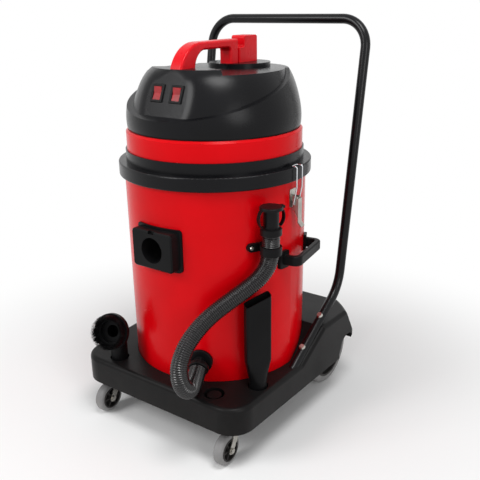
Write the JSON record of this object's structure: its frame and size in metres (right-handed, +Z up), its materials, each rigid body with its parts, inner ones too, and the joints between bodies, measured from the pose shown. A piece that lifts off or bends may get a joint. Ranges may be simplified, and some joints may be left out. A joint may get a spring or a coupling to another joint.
{
  "type": "shop vacuum",
  "caption": "Wet and dry vacuum: round tank on a wheeled trolley with push handle, domed motor head, side latches, ribbed drain hose and stored nozzles.",
  "frame": {"origin": "on the floor, at the centre of the object's footprint box without the drain hose", "axes": "+Z up, -Y to the front where the suction inlet is, +X to the right side that carries the drain hose"},
  "size_m": [0.5522, 0.6921, 1.0195],
  "materials": {
    "red_plastic": "glossy moulded red",
    "red_rocker": "glossy translucent red, modelled opaque",
    "black_plastic": "satin black moulding",
    "black_tube": "black powder coat",
    "black_rubber": "black flexible hose and rubber",
    "black_bristle": "black nylon",
    "grey_tyre": "light grey non-marking tread",
    "dark_hub": "dark moulded hub",
    "zinc_steel": "zinc plated",
    "bright_wire": "bright wire",
    "motor_metal": "bare motor metal",
    "filter_cloth": "pale cloth",
    "float_plastic": "white float"
  },
  "bodies": {
    "vacuum": {"tank": "red_plastic", "red_band": "red_plastic", "carry_handle": "red_plastic", "cord_hook": "red_plastic", "trolley_chassis": "black_plastic", "inlet_block": "black_plastic", "inlet_nut": "black_plastic", "drain_outlet": "black_plastic", "drain_nut": "black_plastic", "hose_clip": "black_plastic", "side_grip_right": "black_plastic", "head_base": "black_plastic", "head_rim": "black_plastic", "head_ring": "black_plastic", "motor_cover": "black_plastic", "switch_frames": "black_plastic", "crevice_tool": "black_plastic", "suction_chamber": "black_plastic", "float_cage": "black_plastic", "filter_cage": "black_plastic", "push_handle": "black_tube", "drain_hose": "black_rubber", "drain_cuff": "black_rubber", "hose_collar": "black_rubber", "head_seal": "black_rubber", "motor_gaskets": "black_rubber", "cable_gland": "black_rubber", "axle_caps": "dark_hub", "axle_spacers": "dark_hub", "handle_bolts": "zinc_steel", "rear_axle": "zinc_steel", "caster_stems": "zinc_steel", "clip_screws": "zinc_steel", "latch_brackets": "zinc_steel", "motor_housings": "motor_metal", "filter_cup": "filter_cloth"},
    "stopper": {"drain_stopper": "black_rubber"},
    "float": {"float_ball": "float_plastic"},
    "brush": {"round_brush": "black_plastic", "brush_bristles": "black_bristle"},
    "rear_wheel_left": {"rear_tyre_left": "grey_tyre", "rear_hub_left": "dark_hub"},
    "caster_left": {"caster_fork_left": "zinc_steel", "caster_axle_left": "zinc_steel"},
    "caster_wheel_left": {"caster_tyre_left": "grey_tyre", "caster_hub_left": "dark_hub"},
    "rocker_left": {"switch_rocker_left": "red_rocker"},
    "lever_left": {"latch_lever_left": "zinc_steel"},
    "bail_left": {"latch_bail_left": "bright_wire"},
    "rotor_left": {"motor_rotor_left": "motor_metal"},
    "rear_wheel_right": {"rear_tyre_right": "grey_tyre", "rear_hub_right": "dark_hub"},
    "caster_right": {"caster_fork_right": "zinc_steel", "caster_axle_right": "zinc_steel"},
    "caster_wheel_right": {"caster_tyre_right": "grey_tyre", "caster_hub_right": "dark_hub"},
    "rocker_right": {"switch_rocker_right": "red_rocker"},
    "lever_right": {"latch_lever_right": "zinc_steel"},
    "bail_right": {"latch_bail_right": "bright_wire"},
    "rotor_right": {"motor_rotor_right": "motor_metal"}
  },
  "joints": [
    {"name": "rear_wheel_spin_left", "type": "hinge", "parent": "vacuum", "child": "rear_wheel_left", "pos_m": [-0.207, 0.209, 0.1], "axis": [1, 0, 0], "continuous": true},
    {"name": "caster_swivel_left", "type": "hinge", "parent": "vacuum", "child": "caster_left", "pos_m": [-0.2, -0.23, 0.094], "axis": [0, 0, 1], "continuous": true},
    {"name": "caster_spin_left", "type": "hinge", "parent": "caster_left", "child": "caster_wheel_left", "pos_m": [-0.2, -0.262, 0.04], "axis": [1, 0, 0], "continuous": true},
    {"name": "switch_press_left", "type": "hinge", "parent": "vacuum", "child": "rocker_left", "pos_m": [-0.028, -0.18416, 0.85822], "axis": [-1, 0, 0], "range_deg": [0, 12]},
    {"name": "latch_open_left", "type": "hinge", "parent": "vacuum", "child": "lever_left", "pos_m": [-0.241, -0.016, 0.612], "axis": [0, 1, 0], "range_deg": [0, 110]},
    {"name": "bail_swing_left", "type": "hinge", "parent": "lever_left", "child": "bail_left", "pos_m": [-0.2385, -0.016, 0.598], "axis": [0, 1, 0], "range_deg": [-110, 0]},
    {"name": "motor_spin_left", "type": "hinge", "parent": "vacuum", "child": "rotor_left", "pos_m": [-0.085, -0.016, 0.75], "axis": [0, 0, 1], "continuous": true},
    {"name": "rear_wheel_spin_right", "type": "hinge", "parent": "vacuum", "child": "rear_wheel_right", "pos_m": [0.207, 0.209, 0.1], "axis": [1, 0, 0], "continuous": true},
    {"name": "caster_swivel_right", "type": "hinge", "parent": "vacuum", "child": "caster_right", "pos_m": [0.2, -0.23, 0.094], "axis": [0, 0, 1], "continuous": true},
    {"name": "caster_spin_right", "type": "hinge", "parent": "caster_right", "child": "caster_wheel_right", "pos_m": [0.2, -0.262, 0.04], "axis": [1, 0, 0], "continuous": true},
    {"name": "switch_press_right", "type": "hinge", "parent": "vacuum", "child": "rocker_right", "pos_m": [0.028, -0.18416, 0.85822], "axis": [-1, 0, 0], "range_deg": [0, 12]},
    {"name": "latch_open_right", "type": "hinge", "parent": "vacuum", "child": "lever_right", "pos_m": [0.241, -0.016, 0.612], "axis": [0, -1, 0], "range_deg": [0, 110]},
    {"name": "bail_swing_right", "type": "hinge", "parent": "lever_right", "child": "bail_right", "pos_m": [0.2385, -0.016, 0.598], "axis": [0, -1, 0], "range_deg": [-110, 0]},
    {"name": "motor_spin_right", "type": "hinge", "parent": "vacuum", "child": "rotor_right", "pos_m": [0.085, -0.016, 0.75], "axis": [0, 0, 1], "continuous": true},
    {"name": "stopper_pull", "type": "slide", "parent": "vacuum", "child": "stopper", "axis": [0, 0, 1], "range_m": [0, 0.034]},
    {"name": "brush_lift", "type": "slide", "parent": "vacuum", "child": "brush", "axis": [0, 0, 1], "range_m": [0, 0.08]},
    {"name": "float_rise", "type": "slide", "parent": "vacuum", "child": "float", "axis": [0, 0, 1], "range_m": [0, 0.045]}
  ],
  "couplings": [
    {"joint": "bail_swing_left", "follows": "latch_open_left", "ratio": -1},
    {"joint": "bail_swing_right", "follows": "latch_open_right", "ratio": -1}
  ]
}
